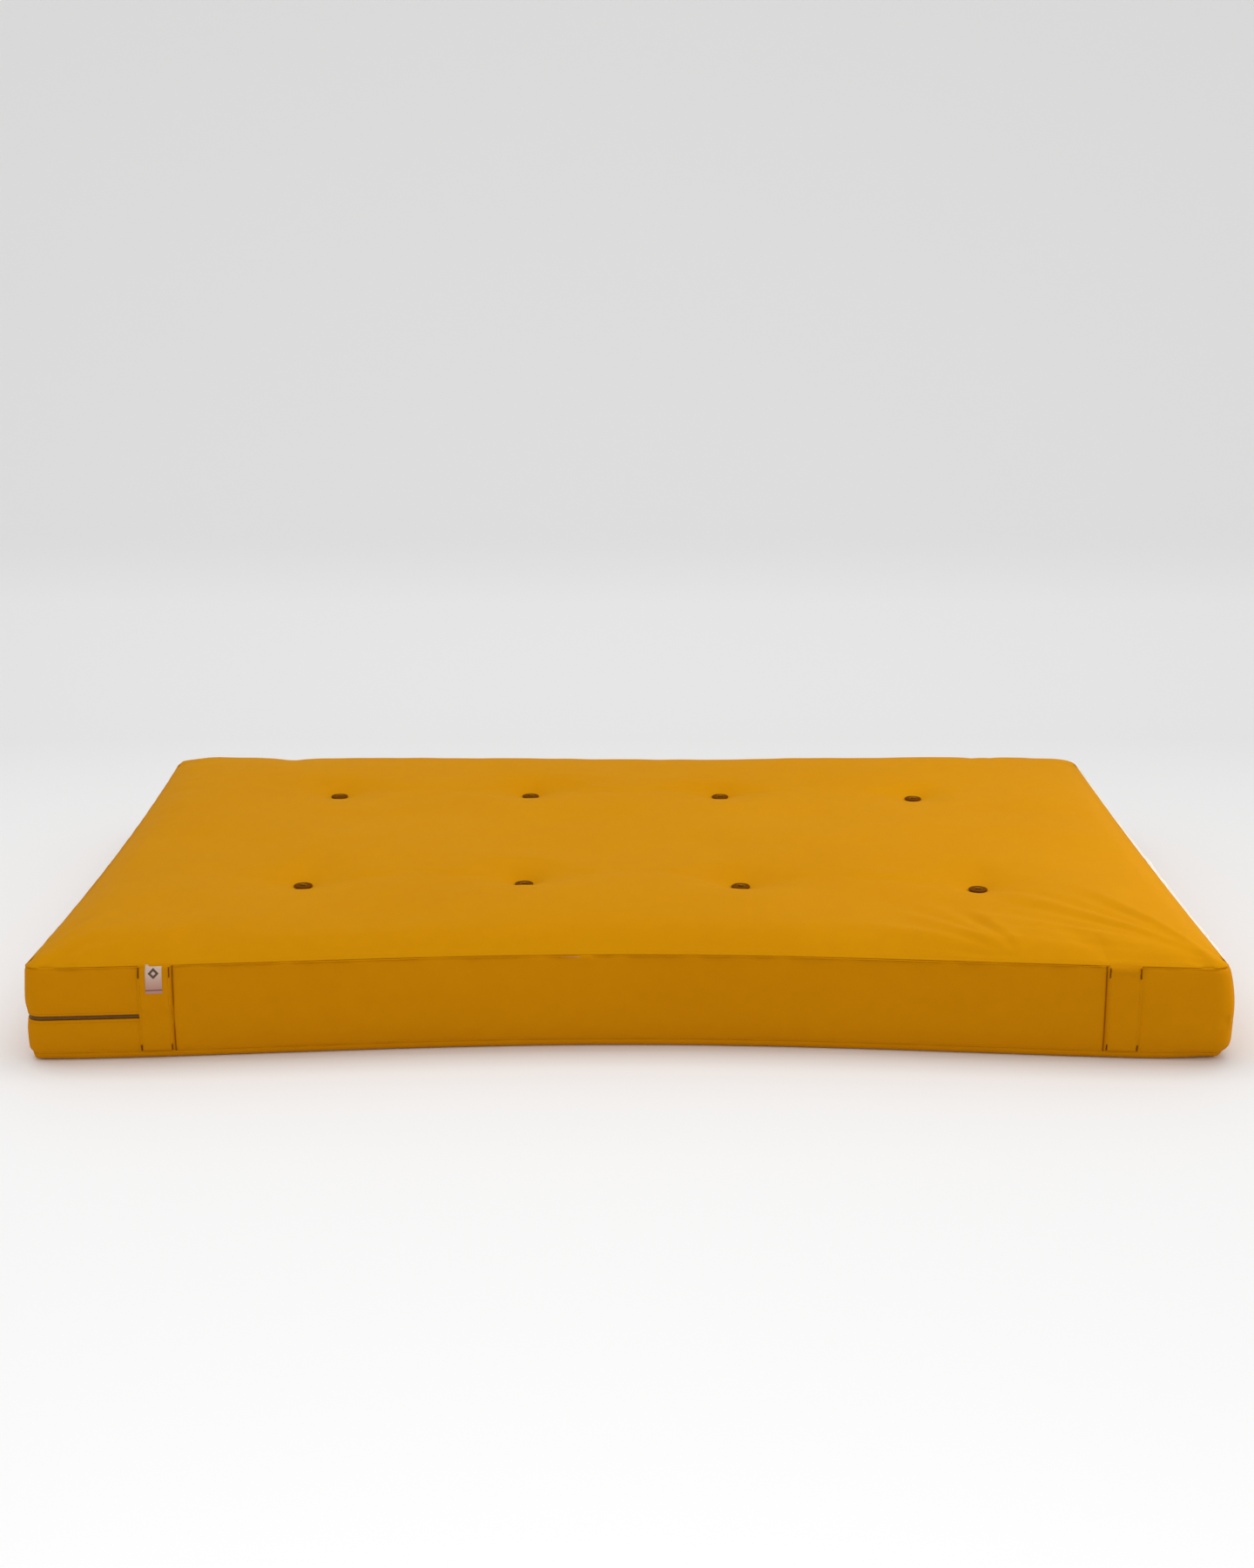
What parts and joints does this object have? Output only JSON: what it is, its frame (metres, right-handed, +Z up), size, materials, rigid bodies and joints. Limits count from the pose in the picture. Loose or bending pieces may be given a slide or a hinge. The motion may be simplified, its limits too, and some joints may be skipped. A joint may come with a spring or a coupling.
{
  "type": "futon mattress",
  "caption": "Tufted double futon mattress with a zipped, boxed cotton cover, an inner case, foam and cotton layers, and carrying straps.",
  "frame": {"origin": "middle of the underside, on the floor plane", "axes": "+X along the long side, away from the zipped end; +Y to the back; +Z up; the -Y side is the front long side, which carries the label"},
  "size_m": [1.9997, 1.3932, 0.2],
  "materials": {
    "cover_cloth": "matte",
    "zip_tape": "matte",
    "zip_coil": "satin",
    "zip_metal": "satin",
    "label_cloth": "matte",
    "calico": "matte",
    "cotton_batt": "matte",
    "foam": "matte",
    "felt": "matte",
    "twine": "matte"
  },
  "bodies": {
    "mattress": {"cover_top_panel": "cover_cloth", "cover_bottom_panel": "cover_cloth", "cover_front_boxing": "cover_cloth", "cover_back_boxing": "cover_cloth", "cover_plain_end_boxing": "cover_cloth", "cover_zip_end_upper_boxing": "cover_cloth", "cover_zip_end_lower_boxing": "cover_cloth", "zip_tape_upper": "zip_tape", "zip_tape_lower": "zip_tape", "zip_teeth_upper": "zip_coil", "zip_teeth_lower": "zip_coil", "zip_end_stops": "zip_metal", "label": "label_cloth", "strap_ends_front_left": "cover_cloth", "strap_ends_front_right": "cover_cloth", "strap_ends_back_left": "cover_cloth", "strap_ends_back_right": "cover_cloth", "inner_case": "calico", "batt_lower_outer": "cotton_batt", "batt_lower_inner": "cotton_batt", "foam_core": "foam", "batt_upper_inner": "cotton_batt", "batt_upper_outer": "cotton_batt", "batt_crown": "cotton_batt", "tuft_1_top_washer": "felt", "tuft_2_top_washer": "felt", "tuft_3_top_washer": "felt", "tuft_4_top_washer": "felt", "tuft_5_top_washer": "felt", "tuft_6_top_washer": "felt", "tuft_7_top_washer": "felt", "tuft_8_top_washer": "felt", "tuft_1_bottom_washer": "felt", "tuft_2_bottom_washer": "felt", "tuft_3_bottom_washer": "felt", "tuft_4_bottom_washer": "felt", "tuft_5_bottom_washer": "felt", "tuft_6_bottom_washer": "felt", "tuft_7_bottom_washer": "felt", "tuft_8_bottom_washer": "felt", "tuft_1_twine": "twine", "tuft_2_twine": "twine", "tuft_3_twine": "twine", "tuft_4_twine": "twine", "tuft_5_twine": "twine", "tuft_6_twine": "twine", "tuft_7_twine": "twine", "tuft_8_twine": "twine"},
    "zip_slider": {"zip_slider": "zip_metal"},
    "zip_pull": {"zip_pull": "zip_metal"},
    "strap_front_left": {"strap_span_front_left": "cover_cloth"},
    "strap_front_right": {"strap_span_front_right": "cover_cloth"},
    "strap_back_left": {"strap_span_back_left": "cover_cloth"},
    "strap_back_right": {"strap_span_back_right": "cover_cloth"}
  },
  "joints": [
    {"name": "zip_travel", "type": "hinge", "parent": "mattress", "child": "zip_slider", "pos_m": [-18.493, 0, 0.077], "axis": [0, 0, -1], "range_deg": [0, 3.6]},
    {"name": "zip_pull_swing", "type": "hinge", "parent": "zip_slider", "child": "zip_pull", "pos_m": [-0.99814, 0.54989, 0.077], "axis": [0, 0, -1], "range_deg": [0, 175]},
    {"name": "strap_front_left_draw", "type": "slide", "parent": "mattress", "child": "strap_front_left", "axis": [0.1123, -0.9937, 0], "range_m": [0, 0.02]},
    {"name": "strap_front_right_draw", "type": "slide", "parent": "mattress", "child": "strap_front_right", "axis": [-0.1182, -0.993, 0], "range_m": [0, 0.02]},
    {"name": "strap_back_left_draw", "type": "slide", "parent": "mattress", "child": "strap_back_left", "axis": [0.047, 0.9989, 0], "range_m": [0, 0.02]},
    {"name": "strap_back_right_draw", "type": "slide", "parent": "mattress", "child": "strap_back_right", "axis": [-0.0495, 0.9988, 0], "range_m": [0, 0.02]}
  ]
}
